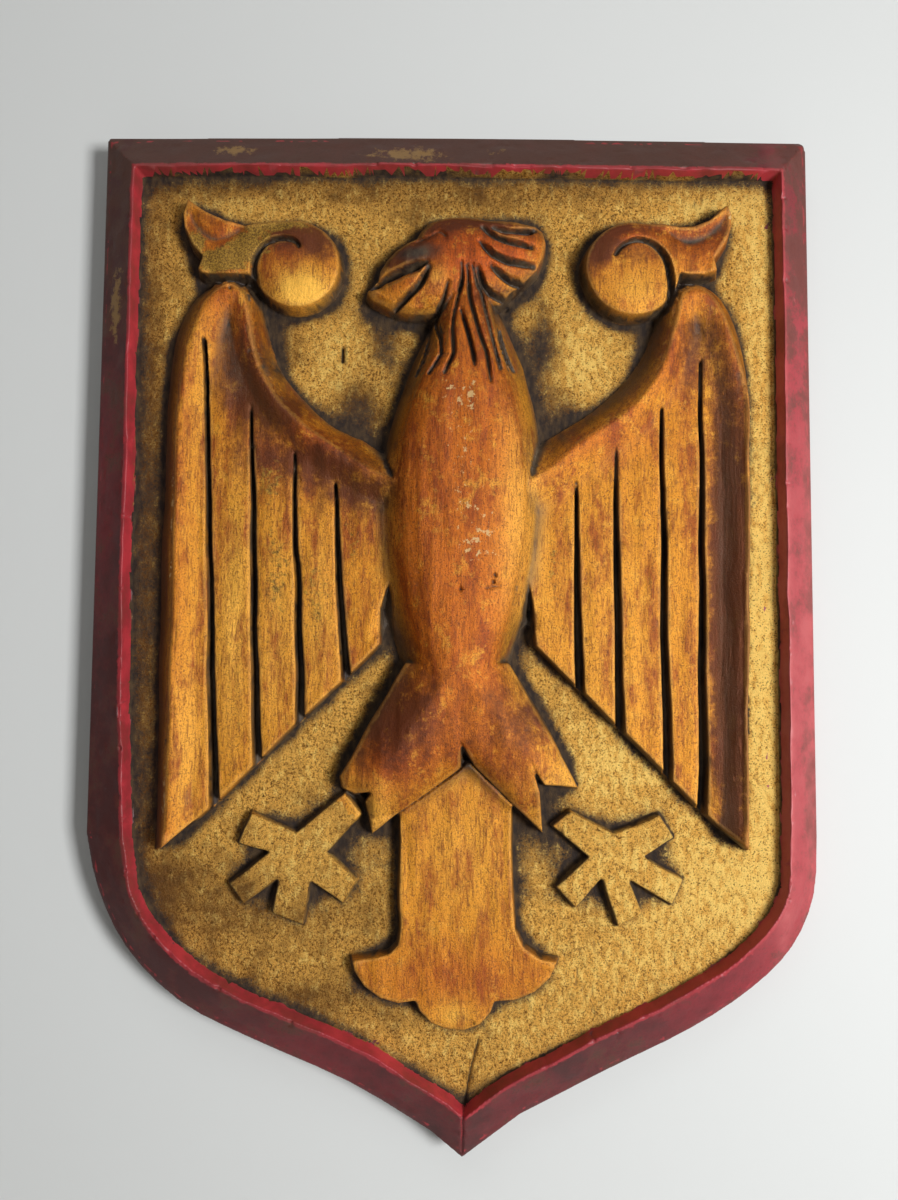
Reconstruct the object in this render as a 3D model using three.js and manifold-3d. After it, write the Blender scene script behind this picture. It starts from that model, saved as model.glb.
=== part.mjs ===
// A wall plaque carved from one thick board: a heater shield with a bevelled raised rim and, on the sunk
// field inside it, a displayed heraldic eagle in relief. Millimetres, +Z up, the face looks along -Y.
// The origin is on the flat back, on the eagle's upright axis and halfway up the shield.
// Everything is drawn face up, with x across, y up the shield and z out of it, and is stood up at the end.
import * as THREE from "three";
import { ConvexGeometry } from "three/addons/geometries/ConvexGeometry.js";
import { mergeVertices } from "three/addons/utils/BufferGeometryUtils.js";
import Module from "manifold-3d";

// Driving dimensions of the board
const shieldHeight = 404;
const leftHalfWidth = 147.9; // the shield was cut a little out of true, so its two halves differ
const rightHalfWidth = 138.3;
const sideLength = 280.8; // straight part of each side, from the top corner down to the shoulder
const topBow = 1.2; // the top edge is a little higher in its middle
const edgeThickness = 13; // square outer edge, behind the bevel
const fieldThickness = 15;
const rimRise = 7; // crest of the rim above the field
const rimLeftWidth = 14.2; // plan width of the bevel on the upright sides
const rimRightWidth = 13.2;
const rimTopWidth = 16.4; // the bevel is broader along the top and bottom
const rimBottomWidth = 16;
const rimSwell = 3; // the bevel swells where the left side starts to curve
const rimSwellReach = 45;
const rimSwellLift = 10; // from the shoulder up to the middle of the swell
const rimWallRun = 1.6; // lean of the wall inside the crest, in plan

// Driving dimensions of the eagle: its height and how far each form stands above the field
const eagleHeight = 321;
const crestRise = 12.4; // arm and outer edge of the wings
const featherRise = 6.6;
const scrollRise = 10.4;
const leafRise = 8.8;
const headRise = 15;
const bodyRise = 21; // ridge of the breast and, in proportion, the thighs
const tailRise = 6;
const clawRise = 4.5;

// Cuts
const quillFloor = 1; // floor of the cuts between the long feathers, above the field
const quillTopWidth = 1.4;
const quillEndWidth = 4.2;
const neckCutWidth = 2.5;
const neckCutDepth = 2.2;
const lockCutWidth = 3.8; // between the locks of the crest
const lockCutDepth = 3.2;
const mouthWidth = 6;
const mouthDepth = 5;
const jawCutWidth = 4;
const jawCutDepth = 3.4;
const eyeCutWidth = 2.6;
const eyeCutDepth = 2;
const scrollCutWidth = 5.6; // where the groove round the eye of a scroll runs out
const scrollCutDepth = 8.6;
const leafCutWidth = 9; // the shallow hollow along a scroll's leaf
const leafCutDepth = 1.8;
const voluteDome = 1.6; // the volute's rim lies this much lower than its flat middle
const voluteDomeWidth = 6;

// Lean of the walls in plan, from the edge of each form down to the field
const scrollRun = 1.6;
const tailRun = 1.2;
const clawRun = 0.9;
const thighRun = 1.8;
const headRun = 1.2;
const featherEndRun = 1;
const featherEndTaper = 0.2; // the ends draw in by this much on the way up to the crest, and again behind it

const toolExcess = 1; // cutting tools reach this far above what they cut

const rootDepth = 2; // how deep each carved form is rooted in the board
const shieldTop = shieldHeight / 2;
// The outlines below are drawn on an eagle this many units high, and scaled to eagleHeight.
const drawingUnits = 321;
const scale = eagleHeight / drawingUnits;

const wasm = await Module();
wasm.setup();

function toSolid(geometry) {
  const bare = new THREE.BufferGeometry();
  bare.setAttribute("position", geometry.getAttribute("position"));
  if (geometry.index) bare.setIndex(geometry.index);
  const merged = mergeVertices(bare, 1e-4);
  const vertProperties = merged.attributes.position.array;
  const triVerts = new Uint32Array(merged.index.array);
  return new wasm.Manifold(new wasm.Mesh({ numProp: 3, vertProperties, triVerts }));
}

function toGeometry(solid) {
  const mesh = solid.getMesh();
  const geometry = new THREE.BufferGeometry();
  geometry.setAttribute("position", new THREE.BufferAttribute(mesh.vertProperties, 3));
  geometry.setIndex(new THREE.BufferAttribute(mesh.triVerts, 1));
  return geometry;
}

const join = (solids) => solids.reduce((sum, solid) => sum.add(solid));

const faceOn = (p) => new THREE.Vector2(p.x, p.y);
const trianglesOf = (outline) => {
  if (outline.length === 3) return [[0, 1, 2]];
  return THREE.ShapeUtils.triangulateShape(outline, []);
};

// Solid with a skin over rings of equally many points, capped at both ends. plane gives the two
// coordinates in which a ring runs counter-clockwise, seen from where the rings are heading.
function loft(rings, plane = faceOn) {
  const count = rings[0].length;
  const index = [];
  for (let r = 0; r + 1 < rings.length; r++) {
    for (let i = 0; i < count; i++) {
      const j = (i + 1) % count;
      const [a, b] = [r * count + i, r * count + j];
      index.push(a, b, b + count, a, b + count, a + count);
    }
  }
  const last = (rings.length - 1) * count;
  for (const [a, b, c] of trianglesOf(rings[0].map(plane))) index.push(a, c, b);
  for (const [a, b, c] of trianglesOf(rings.at(-1).map(plane))) index.push(last + a, last + b, last + c);
  const geometry = new THREE.BufferGeometry();
  const positions = rings.flat().flatMap((p) => p.toArray());
  geometry.setAttribute("position", new THREE.Float32BufferAttribute(positions, 3));
  geometry.setIndex(index);
  return toSolid(geometry);
}

// Moves each edge of a counter-clockwise outline out by distanceOf(its normal, its middle) and meets the
// edges again.
function offset(points, distanceOf) {
  const count = points.length;
  const edges = points.map((p, i) => {
    const q = points[(i + 1) % count];
    const normal = new THREE.Vector2(q.y - p.y, p.x - q.x).normalize();
    return { normal, distance: distanceOf(normal, p.clone().lerp(q, 0.5)) };
  });
  return points.map((p, i) => {
    const [before, after] = [edges[(i + count - 1) % count], edges[i]];
    const [m, n] = [before.normal, after.normal];
    const [d, e] = [before.distance, after.distance];
    const cross = m.cross(n);
    if (Math.abs(cross) < 0.05) {
      return p.clone().addScaledVector(m.clone().add(n).normalize(), (d + e) / 2);
    }
    return new THREE.Vector2(p.x + (d * n.y - e * m.y) / cross, p.y + (e * m.x - d * n.x) / cross);
  });
}

const drawn = (pairs) => pairs.map(([x, y]) => new THREE.Vector2(x, y).multiplyScalar(scale));
const above = (rise) => fieldThickness + rise;
const atHeight = (points, height) => points.map((p) => new THREE.Vector3(p.x, p.y, height));
const smooth = (points, perSpan) => new THREE.SplineCurve(points).getPoints((points.length - 1) * perSpan);

// A raised form with a flat top: a straight root in the board, walls that lean in by run, and where there
// is a dome, a border that climbs by dome over domeWidth up to the flat.
function relief(top, rise, run, dome = 0, domeWidth = 0) {
  const foot = offset(top, () => run);
  const rings = [atHeight(foot, above(-rootDepth)), atHeight(foot, above(0))];
  rings.push(atHeight(top, above(rise - dome)));
  if (dome > 0) {
    rings.push(atHeight(offset(top, () => -domeWidth / 2), above(rise - dome / 4)));
    rings.push(atHeight(offset(top, () => -domeWidth), above(rise)));
  }
  return loft(rings);
}

// A raised form with a faceted, convex top, from [x, y, share of the full rise] corners.
function faceted(corners, rise, run) {
  const tops = corners.map(([x, y, share]) => new THREE.Vector3(x * scale, y * scale, above(rise * share)));
  const centre = tops.reduce((sum, p) => sum.add(p), new THREE.Vector3()).divideScalar(tops.length);
  const feet = tops.map((p) => {
    const out = new THREE.Vector3(p.x - centre.x, p.y - centre.y, 0).normalize();
    return p.clone().addScaledVector(out, run).setZ(above(0));
  });
  const roots = feet.map((p) => p.clone().setZ(above(-rootDepth)));
  return toSolid(new ConvexGeometry([...tops, ...feet, ...roots]));
}

// Size of a cut along its way, as a share of its full size: pointed at both ends, or opening steadily
const pointed = (way) => Math.min(1, 0.15 + 5 * Math.min(way, 1 - way));
const opening = (way) => 0.35 + 0.65 * way;

// A V-shaped cut along a line. heightAt(point) is the surface it is cut into, and width is measured there.
function cut(line, heightAt, width, depth, sizeAt = pointed) {
  const rings = line.map((p, i) => {
    const full = sizeAt(i / (line.length - 1));
    const [before, after] = [line[Math.max(0, i - 1)], line[Math.min(line.length - 1, i + 1)]];
    const along = after.clone().sub(before).normalize();
    const leftwards = new THREE.Vector2(-along.y, along.x);
    const surface = heightAt(p);
    // The sides go on above the surface at the same slope, as far again as the cut is deep, so they are
    // twice as far apart there as at the surface.
    const lip = (way) => p.clone().addScaledVector(leftwards, way * width * full);
    const [left, right] = [lip(1), lip(-1)];
    return [
      new THREE.Vector3(p.x, p.y, surface - depth * full),
      new THREE.Vector3(left.x, left.y, surface + depth * full),
      new THREE.Vector3(right.x, right.y, surface + depth * full),
    ];
  });
  return loft(rings);
}

// Board, rim and sunk field. Each lower curve gives shares of the half's width and of the drop from the
// shoulder to the tip; its last stretch to the tip is straight.

const rightCurve = [[1, 0], [0.988, 0.183], [0.925, 0.344], [0.808, 0.475], [0.637, 0.6], [0.412, 0.724],
  [0.161, 0.867]];
const leftCurve = [[1, 0], [0.966, 0.174], [0.886, 0.361], [0.7425, 0.527], [0.558, 0.638], [0.294, 0.773],
  [0.084, 0.919]];

const corner = shieldTop - topBow;
const shoulder = corner - sideLength;
const sideSteps = [0.6, 0.7, 0.8, 0.9]; // extra points down the left side, where the bevel's width changes

function shieldOutline() {
  const tip = new THREE.Vector2(0, -shieldTop);
  const curve = (shares, halfWidth) => {
    const drop = tip.y - shoulder;
    return smooth(shares.map(([x, y]) => new THREE.Vector2(x * halfWidth, shoulder + y * drop)), 3);
  };
  const top = new THREE.SplineCurve([
    new THREE.Vector2(rightHalfWidth, corner),
    new THREE.Vector2((rightHalfWidth - leftHalfWidth) / 2, shieldTop),
    new THREE.Vector2(-leftHalfWidth, corner),
  ]).getPoints(8);
  const leftSide = sideSteps.map((share) => new THREE.Vector2(-leftHalfWidth, corner - share * sideLength));
  const [left, right] = [curve(leftCurve, -leftHalfWidth), curve(rightCurve, rightHalfWidth)];
  return [...top, ...leftSide, ...left, tip, ...right.reverse()];
}

// Plan width of the bevel along an edge of the outline
function bevelWidth(normal, middle) {
  const endWidth = normal.y > 0 ? rimTopWidth : rimBottomWidth;
  const sideWidth = normal.x > 0 ? rimRightWidth : rimLeftWidth;
  const width = sideWidth * normal.x ** 2 + endWidth * normal.y ** 2;
  if (normal.x > 0) return width;
  const nearness = 1 - Math.abs(middle.y - shoulder - rimSwellLift) / rimSwellReach;
  return width + rimSwell * THREE.MathUtils.smoothstep(nearness, 0, 1);
}

function board() {
  const edge = shieldOutline();
  const crest = offset(edge, (normal, middle) => -bevelWidth(normal, middle));
  const foot = offset(edge, (normal, middle) => -bevelWidth(normal, middle) - rimWallRun);
  return loft([
    atHeight(edge, 0),
    atHeight(edge, edgeThickness),
    atHeight(crest, above(rimRise)),
    atHeight(foot, fieldThickness),
  ]);
}

// Wings. Along the arm and the outer edge, stations give the foot of the wall on the field, the crest,
// and the line where the hollow behind the crest meets the flat of the feathers.

const leftWing = {
  foot: [[-26, 66], [-41, 75.5], [-51, 79.5], [-59, 85.5], [-65, 91.5], [-70, 98], [-74.5, 105], [-78, 113],
    [-80.5, 121], [-83, 132], [-92, 139], [-102, 138], [-110, 132], [-115, 123], [-118, 112],
    [-119.5, 97], [-120.3, 79], [-120.8, 20], [-120.4, -30], [-119.5, -86]],
  crest: [[-28, 57], [-43.4, 65.3], [-53.1, 71.9], [-61, 77], [-68.9, 84], [-74.8, 90.7], [-80.1, 100.5],
    [-83.8, 110.4], [-85.6, 120.4], [-87.5, 130.5], [-93, 135.2], [-98.6, 132.3], [-103.7, 126.3],
    [-106.8, 118.2], [-109.9, 108.3], [-112.2, 92.4], [-113.4, 76.6], [-113, 20], [-113.2, -30],
    [-113.8, -83]],
  hollow: [[-28, 46], [-46, 54.5], [-58, 62], [-66.5, 67.5], [-74, 75.5], [-80, 83.5], [-86, 93.5],
    [-90, 103], [-92.3, 112], [-93.4, 118], [-94.6, 120.5], [-95.8, 118.5], [-97.2, 114], [-98.8, 108],
    [-100.5, 100], [-102.6, 88], [-103.8, 75], [-104.3, 20], [-104, -30], [-103.6, -73]],
  ends: [[-102.6, -73.4], [-33.5, -6.1], [-33.6, 8], [-29, 25], [-26, 38]],
  quills: [[[-103.1, 112.2], [-96, -76]], [[-85, 86.9], [-79.6, -60]], [[-67.5, 66.9], [-63, -45]],
    [[-51.5, 56.2], [-46, -28]]],
};
const rightWing = {
  foot: [[109.8, -85], [110.3, -26], [111.3, 27.6], [112, 76], [112.5, 92], [111.5, 105], [109.3, 118],
    [105, 129], [99, 137], [90.3, 139.6], [82, 138], [77, 129], [74.5, 121], [70.5, 111.5],
    [65.5, 104.5], [59.5, 97], [53.2, 90.5], [46, 84.8], [37, 79.3], [27, 73], [21, 67]],
  crest: [[107, -82], [107.7, -26], [108.8, 27.6], [109.2, 76], [109, 90], [107, 102], [103.6, 114],
    [99.5, 125], [94.8, 132.2], [89.4, 135.3], [84, 132.5], [82.7, 127], [81.5, 121.7], [78.2, 109.7],
    [73.5, 99.7], [67.2, 90.6], [59.4, 83.8], [51.6, 78.6], [41.9, 71.9], [33, 64], [24, 57]],
  hollow: [[98, -73.2], [98.8, -26], [99.5, 27], [99.5, 74], [98.8, 87], [97.3, 97], [95.5, 105],
    [93.8, 112], [92.3, 118], [90.8, 120.5], [89.5, 120], [88.7, 117], [87.8, 111], [85, 101], [80, 91.5],
    [73, 82], [65, 74], [57, 68.5], [47, 60.5], [38, 52], [26, 45]],
  ends: [[23, 38], [24, 25], [26.6, 8], [27.2, -5.7], [97, -73.6]],
  quills: [[[92.4, 106.4], [91.6, -79]], [[76.8, 86.9], [78, -64]], [[58.4, 68.6], [60.2, -48]],
    [[42.9, 57.7], [44.8, -34]]],
};
const crestFlat = 0.12; // how far the crest's height is kept on the way to the hollow, as a share

function wing(shape) {
  const [foot, crest, hollow] = [shape.foot, shape.crest, shape.hollow].map((line) => smooth(drawn(line), 2));
  const brow = crest.map((p, i) => p.clone().lerp(hollow[i], crestFlat));
  const ends = drawn(shape.ends);
  const endsMoved = (distance) => offset([...crest, ...ends], () => distance).slice(crest.length);
  const [high, flat] = [above(crestRise), above(featherRise)];
  const ring = (line, height, tips, tipHeight) => [...atHeight(line, height), ...atHeight(tips, tipHeight)];
  const outer = endsMoved(featherEndRun);
  const body = loft([
    ring(foot, above(-rootDepth), outer, above(-rootDepth)),
    ring(foot, above(0), outer, above(0)),
    ring(crest, high, ends, flat),
    ring(brow, high, endsMoved(-featherEndTaper), flat),
    ring(hollow, flat, endsMoved(-2 * featherEndTaper), flat),
  ]);
  return shape.quills.reduce((solid, ends) => solid.subtract(quill(...drawn(ends))), body);
}

// The cut between two feathers starts as a point, widens down to the feathers' ends and runs out past them.
function quill(top, end) {
  const along = end.clone().sub(top).normalize();
  const across = new THREE.Vector2(-along.y, along.x);
  const ring = (height, spread) => {
    const side = (p, width) => p.clone().addScaledVector(across, (spread * width * scale) / 2);
    const point = top.clone().addScaledVector(along, -7 * scale);
    const [topRight, topLeft] = [side(top, -quillTopWidth), side(top, quillTopWidth)];
    const [endRight, endLeft] = [side(end, -quillEndWidth), side(end, quillEndWidth)];
    return atHeight([point, topRight, endRight, endLeft, topLeft], height);
  };
  return loft([ring(above(quillFloor), 0.6), ring(above(crestRise + toolExcess), 1.4)]);
}

// Scrolls at the wings' tips: a round volute with a cut round its eye, and a two-lobed leaf behind it
const leftScroll = {
  centre: [-68, 144.2], radius: 17,
  groove: [[-66.2, 149.7], [-67.7, 152.4], [-72.4, 153.8], [-78.4, 152.7], [-82.7, 148.9], [-84.9, 142.3],
    [-84.1, 135.2], [-81.9, 130.7], [-78.8, 126.2]],
  leaf: [[-68, 140], [-66, 161.4], [-78.5, 161], [-88.4, 159.4], [-96.3, 161.5], [-104.4, 165.5],
    [-111.3, 170], [-113, 164], [-112.6, 158.5], [-109.6, 152], [-105, 147], [-106.8, 142],
    [-105.3, 140.2], [-95.9, 139.9], [-84, 140.2]],
  hollow: [[-110.8, 165.9], [-107.4, 158.8], [-100.9, 153.8], [-93.5, 155.9], [-87.6, 160.5]],
};
const rightScroll = {
  centre: [65.2, 143.4], radius: 18.6,
  groove: [[57.8, 147.6], [61, 152], [66.9, 154.3], [73.4, 152.4], [78.3, 146.6], [80.2, 139.5],
    [80.6, 132.5], [78.1, 125.4], [74.1, 121.3]],
  leaf: [[64, 140], [80, 142.5], [87.6, 141], [93.5, 141.5], [98.3, 143.1], [97.3, 147.7],
    [99.6, 150.8], [102.4, 155.7], [104, 161], [104, 166], [102.3, 168.8], [96, 163], [89.7, 160.5],
    [83.8, 160], [77.9, 161.2], [64, 162]],
  hollow: [[102.8, 166], [97.9, 158.9], [90.9, 154.7], [84, 155.2], [78.6, 159.2]],
};
const volutePoints = 36;

function scroll({ centre, radius, groove, leaf, hollow }) {
  const [x, y] = centre;
  const round = new THREE.Path().absarc(x * scale, y * scale, radius * scale, 0, 2 * Math.PI);
  const ring = round.getPoints(volutePoints).slice(0, -1);
  const volute = relief(ring, scrollRise, scrollRun, voluteDome, voluteDomeWidth);
  const hollowed = relief(drawn(leaf), leafRise, scrollRun)
    .subtract(cut(smooth(drawn(hollow), 3), () => above(leafRise), leafCutWidth, leafCutDepth));
  const top = () => above(scrollRise);
  const cutter = cut(smooth(drawn(groove), 3), top, scrollCutWidth, scrollCutDepth, opening);
  return volute.add(hollowed).subtract(cutter);
}

// Body: stations from the neck down to the waist give y, the left foot and facet, the right facet and
// foot, and the rise of the facets and of the ridge between them as shares of the breast's.
const stations = [
  [140, -9, -5.5, 6, 9.5, 0.42, 0.6], [130, -12.2, -6.5, 7.5, 12.6, 0.55, 0.7],
  [117, -16.9, -9.5, 10.3, 17.8, 0.64, 0.83], [105, -22.8, -14.3, 14, 23.1, 0.7, 0.91],
  [91, -27.4, -20, 17.7, 26.3, 0.72, 0.96], [75, -32, -24.2, 21, 29.5, 0.73, 0.99],
  [59, -35.8, -25.8, 22.5, 31.5, 0.74, 1], [43, -36.8, -26.2, 22.3, 31.1, 0.74, 1],
  [27, -35.4, -25, 20.5, 29.6, 0.73, 0.99], [11, -32.8, -22.1, 17.4, 26.2, 0.72, 0.97],
  [-4, -28.7, -18.2, 12.9, 20.2, 0.69, 0.92], [-17, -24.3, -15.2, 9, 17, 0.65, 0.86],
];

// The breast across one station, from its left foot to its right one: flat walls up to the facets, and
// between them a back rounded as an ellipse
const backSteps = [-1, -0.7, -0.35, 0.35, 0.7, 1];

function profile([y, leftFoot, leftFacet, rightFacet, rightFoot, facetShare, ridgeShare]) {
  const back = backSteps.map((step) => {
    const x = THREE.MathUtils.mapLinear(step, -1, 1, leftFacet, rightFacet);
    return [x, THREE.MathUtils.lerp(facetShare, ridgeShare, Math.sqrt(1 - step ** 2))];
  });
  const points = [[leftFoot, 0], ...back, [rightFoot, 0]];
  return points.map(([x, share]) => new THREE.Vector3(x * scale, y * scale, above(bodyRise * share)));
}

function breast() {
  const rings = stations.map(profile).map((points) => {
    const roots = [points.at(-1), points[0]].map((p) => p.clone().setZ(above(-rootDepth)));
    return [...points, ...roots].reverse();
  });
  return loft(rings, (p) => new THREE.Vector2(p.x, p.z));
}

// Height of the breast at a point between two stations
function breastHeight(point) {
  const y = THREE.MathUtils.clamp(point.y / scale, stations.at(-1)[0], stations[0][0]);
  const next = Math.max(1, stations.findIndex(([stationY]) => stationY <= y));
  const [a, b] = [stations[next - 1], stations[next]];
  const share = (a[0] - y) / (a[0] - b[0]);
  const section = profile(a.map((value, i) => THREE.MathUtils.lerp(value, b[i], share)));
  const x = THREE.MathUtils.clamp(point.x, section[0].x, section.at(-1).x);
  const after = Math.max(1, section.findIndex((p) => p.x >= x));
  const [p, q] = [section[after - 1], section[after]];
  return THREE.MathUtils.mapLinear(x, p.x, q.x, p.z, q.z);
}

// Thighs: two convex facets each, the outer point and the lower point of the trousers

const thighs = [
  [[-23, -13, 0.42], [-14, -13, 0.68], [-3, -13, 0.86], [-13.4, -26.7, 0.84], [-26.3, -45.4, 0.74],
    [-34.5, -37.8, 0.42], [-43.1, -48.4, 0.42], [-47.5, -55.8, 0.4], [-46.8, -60.3, 0.36],
    [-42.5, -62.4, 0.4], [-34.7, -61, 0.58]],
  [[-3, -13, 0.86], [-13.4, -26.7, 0.84], [-26.3, -45.4, 0.74], [-34.7, -61, 0.58], [-38.2, -65.5, 0.4],
    [-35.5, -77.8, 0.34], [-24.6, -68.5, 0.4], [-2, -52.5, 0.5], [-2, -41.5, 0.7]],
  [[16.5, -13, 0.42], [9, -13, 0.68], [-3, -13, 0.86], [9.1, -26.5, 0.84], [22.3, -45, 0.74],
    [28.1, -33.6, 0.42], [34.2, -43.2, 0.42], [43.4, -60, 0.36], [37.1, -59.8, 0.4], [30, -59, 0.56]],
  [[-3, -13, 0.86], [9.1, -26.5, 0.84], [22.3, -45, 0.74], [28.2, -62, 0.54], [29.8, -77.4, 0.34],
    [24.2, -72, 0.38], [3.9, -51.8, 0.5], [-2, -41.5, 0.7]],
];

// Head, looking left: one domed lump. Its rings give how far they lie on the way from the outline to the
// centre, and their share of the full rise.

const headOutline = [[12.8, 128.1], [17.5, 133.4], [22.6, 137.5], [27, 142], [29.7, 147.7], [30.8, 153.8],
  [29.7, 158.3], [26.9, 160.4], [17.4, 162.1], [7.8, 162.4], [3.9, 163.3], [-0.9, 163.8], [-5.7, 163.7],
  [-10.4, 163.1], [-15.2, 161.2], [-18.5, 157.7], [-20.3, 154.6], [-24.7, 152.8], [-28.6, 150.1],
  [-32.1, 146.4], [-34.5, 142.3], [-35.2, 138.1], [-38.9, 135], [-39.8, 133], [-38.3, 130.8],
  [-34.7, 128.8], [-28.3, 125.8], [-22.8, 124.4], [-16.5, 124.3], [-11.7, 125.1]];
const headCentre = [-3.5, 144.5];
const headRings = [[0, 0.5], [0.1, 0.68], [0.3, 0.84], [0.6, 0.96], [0.85, 1]];

function head() {
  const outline = drawn(headOutline);
  const [centre] = drawn([headCentre]);
  const ring = ([inwards, share]) => {
    return atHeight(outline.map((p) => p.clone().lerp(centre, inwards)), above(headRise * share));
  };
  const foot = offset(outline, () => headRun);
  return loft([atHeight(foot, above(-rootDepth)), atHeight(foot, above(0)), ...headRings.map(ring)]);
}

// Height of the head at a point. The line from the centre through the point meets the outline reach times
// as far away.
function headHeight(point) {
  const [centre] = drawn([headCentre]);
  const corners = drawn(headOutline).map((p) => p.sub(centre));
  const way = point.clone().sub(centre);
  const reaches = corners.map((corner, i) => {
    const edge = corners[(i + 1) % corners.length].clone().sub(corner);
    const along = corner.cross(way) / way.cross(edge);
    return along >= 0 && along <= 1 ? corner.cross(edge) / way.cross(edge) : 0;
  });
  const reach = Math.max(...reaches);
  const inwards = 1 - 1 / Math.max(1, reach);
  const next = headRings.findIndex(([ringInwards]) => ringInwards > inwards);
  if (next < 0) return above(headRise * headRings.at(-1)[1]);
  const [a, b] = [headRings[next - 1], headRings[next]];
  return above(headRise * THREE.MathUtils.mapLinear(inwards, a[0], b[0], a[1], b[1]));
}

// Cuts in the head: the strands that hang from it over the neck, the crest's locks, mouth, jaw and eye

const neckCuts = [
  [[-14.6, 121.4], [-15.3, 114.2], [-17.1, 107.4], [-20, 99.9]],
  [[-8.1, 135.4], [-9.4, 129.8], [-12, 124.2], [-12.5, 119], [-10.6, 112.7], [-10.3, 106.4],
    [-12.6, 102.1], [-14.9, 98.5]],
  [[-2.5, 143.2], [-2.3, 137.4], [-3.5, 131.8], [-5.3, 123.1], [-6, 115.9], [-5.6, 106.5], [-7.6, 101.7],
    [-9, 98.2]],
  [[-2.7, 123.5], [-0.7, 116.8], [0.6, 111.2], [1.8, 105.7], [2.3, 101.4]],
  [[-0.4, 142.2], [0.2, 134.2], [0.9, 127.9], [2.9, 120], [4.9, 112.9], [7.2, 106.6], [8.3, 100.3],
    [8.7, 95.2]],
  [[1.8, 142.2], [3.2, 135.8], [5.5, 131.1], [7.5, 123.2], [9, 116], [10.6, 109.7], [12, 104.2],
    [12.7, 100.7]],
  [[12.6, 117.6], [14.3, 110.8], [16.2, 105.6], [18, 101.7]],
];
const lockCuts = [
  [[10.3, 157.8], [15.7, 156.7], [22, 156.8], [26.1, 158]],
  [[5.8, 158.1], [10.9, 153.7], [17.2, 151.5], [24.9, 150.5]],
  [[5, 151.2], [9.7, 146.4], [16.4, 143.6], [25.5, 143.3]],
  [[9.4, 141.6], [13.7, 138.4], [17.2, 136.6], [21.2, 136]],
  [[3.7, 141.1], [5.8, 135.1], [9, 131.5], [15.6, 129.6]],
];
const mouthCut = [[-16.2, 143], [-22, 141.3], [-28.3, 139.3], [-33.4, 137.6], [-39, 134.6]];
const jawCut = [[-15.3, 141], [-18.8, 134.9], [-23.5, 130.5], [-29.6, 125.2]];
const eyeCut = [[-24.1, 152], [-19.8, 153], [-15.1, 153.9], [-11.5, 155.9], [-8.8, 153.9], [-8.6, 150.5]];

// All the cuts as solids. Each one follows whichever is higher, head or breast.
function headCuts() {
  const surface = (p) => Math.max(headHeight(p), breastHeight(p));
  const solid = (line, width, depth) => cut(smooth(drawn(line), 3), surface, width, depth);
  return [
    ...neckCuts.map((line) => solid(line, neckCutWidth, neckCutDepth)),
    ...lockCuts.map((line) => solid(line, lockCutWidth, lockCutDepth)),
    solid(mouthCut, mouthWidth, mouthDepth),
    solid(jawCut, jawCutWidth, jawCutDepth),
    solid(eyeCut, eyeCutWidth, eyeCutDepth),
  ];
}

// Tail and claws: flat forms with steep walls

const tail = [[-24.4, -50], [-24.5, -91.9], [-24.3, -114.4], [-25.3, -120], [-28.7, -123.8],
  [-34.8, -125.3], [-42.4, -126.5], [-41.2, -130.5], [-37.3, -135.7], [-31.6, -139.7], [-25.1, -141.5],
  [-18.3, -140.4], [-16.7, -144.1], [-11.8, -148.8], [-6.1, -151], [0.7, -151.3], [6.4, -149.1],
  [10.5, -145], [12, -140.9], [19.6, -140.5], [27.2, -137.1], [32.9, -131.9], [35.5, -126.3],
  [29.1, -125.2], [22.6, -120.8], [19.5, -114.1], [18.3, -99.1], [17.2, -50]];
const leftClaw = [[-64.8, -78.7], [-81.9, -71.5], [-87.1, -82.6], [-73.9, -85.9], [-90.2, -97.8],
  [-84.7, -105.3], [-70.7, -95.4], [-73.1, -108.6], [-61.9, -113.4], [-59.5, -96.4], [-46.7, -105],
  [-41.8, -96.3], [-53.1, -85.8], [-40.3, -70.9], [-46.2, -63.3]];
const rightClaw = [[57.3, -78.1], [41.1, -69.9], [34.2, -75.3], [48.4, -87.3], [35.7, -98.4],
  [43, -105.9], [53.4, -94.8], [59.1, -112.9], [67.6, -108.3], [62.3, -94.4], [79.9, -104.8],
  [84.1, -95.4], [68.4, -86.4], [80.8, -79.5], [75.5, -70.8]];

const carved = join([
  board(),
  wing(leftWing),
  wing(rightWing),
  scroll(leftScroll),
  scroll(rightScroll),
  breast(),
  ...thighs.map((thigh) => faceted(thigh, bodyRise, thighRun)),
  relief(drawn(tail), tailRise, tailRun),
  relief(drawn(leftClaw), clawRise, clawRun),
  relief(drawn(rightClaw), clawRise, clawRun),
  head(),
]);
const finished = headCuts().reduce((solid, tool) => solid.subtract(tool), carved);

const wood = new THREE.MeshStandardMaterial({ color: "#8f6427", roughness: 0.6 });
const shield = new THREE.Mesh(toGeometry(finished), wood);
shield.name = "carved_shield";

const plaque = new THREE.Group();
plaque.name = "heraldic_shield_plaque";
plaque.add(shield);
plaque.rotateX(Math.PI / 2);

export default plaque;
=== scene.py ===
# %% [markdown]
# # A carved heraldic shield, gilded, stained and painted
# The real plaque is one thick board. Its maker sawed the shield's outline, planed a bevel round the edge,
# cut the ground away to leave an eagle standing in relief, and then finished it in layers: bronze powder on
# the sunk field, amber varnish over gold on the eagle, and oxblood paint on the rim. Years of handling and
# dark wax in the corners did the rest. Each cell below makes one of those things and says why it is made so.

# %% [markdown]
# ## The fixed frame
# The solid that was packed from the CAD source is loaded first. Nothing moves it: the dressed carving is
# made from it, at the same place and size, so the box is measured now.

# %% Load the frame
import math

import bpy
import numpy as np
from mathutils import Matrix, Vector


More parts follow.
